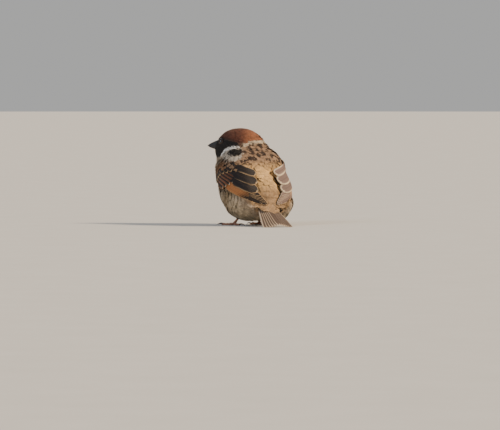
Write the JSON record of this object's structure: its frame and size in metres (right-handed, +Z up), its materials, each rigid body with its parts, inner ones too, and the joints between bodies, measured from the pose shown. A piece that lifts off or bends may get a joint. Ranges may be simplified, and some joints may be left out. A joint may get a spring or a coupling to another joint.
{
  "type": "tree sparrow",
  "caption": "Life-size still model of a small chestnut-capped songbird standing with its plumage fluffed and its head turned to its left, resting on its feet and tail tip",
  "frame": {"origin": "on the floor under the middle of the bird's bounding box", "axes": "+Z is up. The trunk faces -Y, the tail points along +Y and the bird's left side is +X; the head is turned 38 degrees towards +X"},
  "size_m": [0.0508, 0.0838, 0.0716],
  "materials": {
    "plumage": "soft matt contour feathers",
    "feather": "smooth matt wing and tail feathers",
    "horn": "satin black horn",
    "scales": "matt scaled skin",
    "claw": "satin dark horn",
    "eye": "wet gloss, opaque"
  },
  "bodies": {
    "root": {"head": "plumage", "neck": "plumage", "trunk": "plumage", "tail": "feather", "bill_upper": "horn", "bill_lower": "horn", "eye_left": "eye", "wing_left_coverts": "feather", "wing_left_tertials": "feather", "wing_left_flight": "feather", "leg_left": "scales", "toe_left_1": "scales", "claw_left_1": "claw", "toe_left_2": "scales", "claw_left_2": "claw", "toe_left_3": "scales", "claw_left_3": "claw", "toe_left_4": "scales", "claw_left_4": "claw", "eye_right": "eye", "wing_right_coverts": "feather", "wing_right_tertials": "feather", "wing_right_flight": "feather", "leg_right": "scales", "toe_right_1": "scales", "claw_right_1": "claw", "toe_right_2": "scales", "claw_right_2": "claw", "toe_right_3": "scales", "claw_right_3": "claw", "toe_right_4": "scales", "claw_right_4": "claw"}
  },
  "joints": []
}
